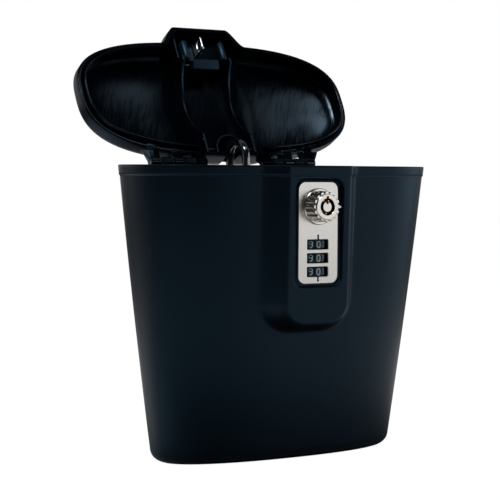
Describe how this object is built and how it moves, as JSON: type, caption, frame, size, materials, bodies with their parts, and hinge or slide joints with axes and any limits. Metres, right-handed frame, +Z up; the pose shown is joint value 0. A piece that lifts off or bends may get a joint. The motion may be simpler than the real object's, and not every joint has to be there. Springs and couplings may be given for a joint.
{
  "type": "portable car safe",
  "caption": "Portable plastic safe with a domed hinged lid, cam lock with round keyway and number wheels, and a coated steel tether cable.",
  "frame": {"origin": "middle of the case's flat underside, where the safe stands on its base", "axes": "+X to the right seen from the lock, -Y towards the lock, +Z up; the lid is shown open"},
  "size_m": [0.2078, 0.1784, 0.2731],
  "materials": {
    "casing": "fine satin moulded plastic, dark blue-grey",
    "lid_plastic": "polished moulded plastic, near black blue",
    "inner_plastic": "plain black moulding",
    "nickel": "satin nickel plate",
    "chrome": "bright chromium plate",
    "wheel_black": "black moulding with pale printed digits",
    "keyway": "blackened metal",
    "brass": "turned brass",
    "steel": "plain zinc plated steel",
    "cable_jacket": "smooth plastic jacket over a steel cable",
    "ferrule": "pressed aluminium sleeve"
  },
  "bodies": {
    "case": {"body_shell": "casing", "hinge_pin_left": "steel", "hinge_pin_right": "steel", "lock_faceplate": "nickel", "lock_case": "inner_plastic", "case_screw_1": "steel", "case_screw_2": "steel", "case_screw_3": "steel", "case_screw_4": "steel", "wheel_spindle": "steel", "detent_spring": "steel", "tether_cable": "cable_jacket", "tether_coil": "cable_jacket", "tether_tail": "cable_jacket", "stop_ferrule": "ferrule", "eye_ferrule": "ferrule", "tether_eye": "cable_jacket"},
    "lid": {"lid_shell": "lid_plastic", "lid_insert": "lid_plastic", "striker": "chrome", "striker_screw_1": "steel", "striker_screw_2": "steel"},
    "knob": {"knob": "nickel", "latch_cam": "steel", "cam_washer": "steel", "cam_nut": "steel"},
    "key_plug": {"key_rotor": "keyway", "key_pin_1": "brass", "key_pin_2": "brass", "key_pin_3": "brass", "key_pin_4": "brass", "key_pin_5": "brass", "key_pin_6": "brass", "key_pin_7": "brass"},
    "wheel_1": {"number_wheel_1": "wheel_black"},
    "wheel_2": {"number_wheel_2": "wheel_black"},
    "wheel_3": {"number_wheel_3": "wheel_black"}
  },
  "joints": [
    {"name": "lid_hinge", "type": "hinge", "parent": "case", "child": "lid", "pos_m": [0, 0.05, 0.1823], "axis": [1, 0, 0], "range_deg": [0, 118.75]},
    {"name": "knob_turn", "type": "hinge", "parent": "case", "child": "knob", "pos_m": [0, -0.05, 0.1555], "axis": [0, -1, 0], "range_deg": [0, 90]},
    {"name": "key_turn", "type": "hinge", "parent": "knob", "child": "key_plug", "pos_m": [0, -0.055, 0.1555], "axis": [0, -1, 0], "range_deg": [0, 90]},
    {"name": "wheel_turn_1", "type": "hinge", "parent": "case", "child": "wheel_1", "pos_m": [0, -0.0428, 0.1328], "axis": [0, 0, 1], "continuous": true},
    {"name": "wheel_turn_2", "type": "hinge", "parent": "case", "child": "wheel_2", "pos_m": [0, -0.0428, 0.1246], "axis": [0, 0, 1], "continuous": true},
    {"name": "wheel_turn_3", "type": "hinge", "parent": "case", "child": "wheel_3", "pos_m": [0, -0.0428, 0.1164], "axis": [0, 0, 1], "continuous": true}
  ]
}
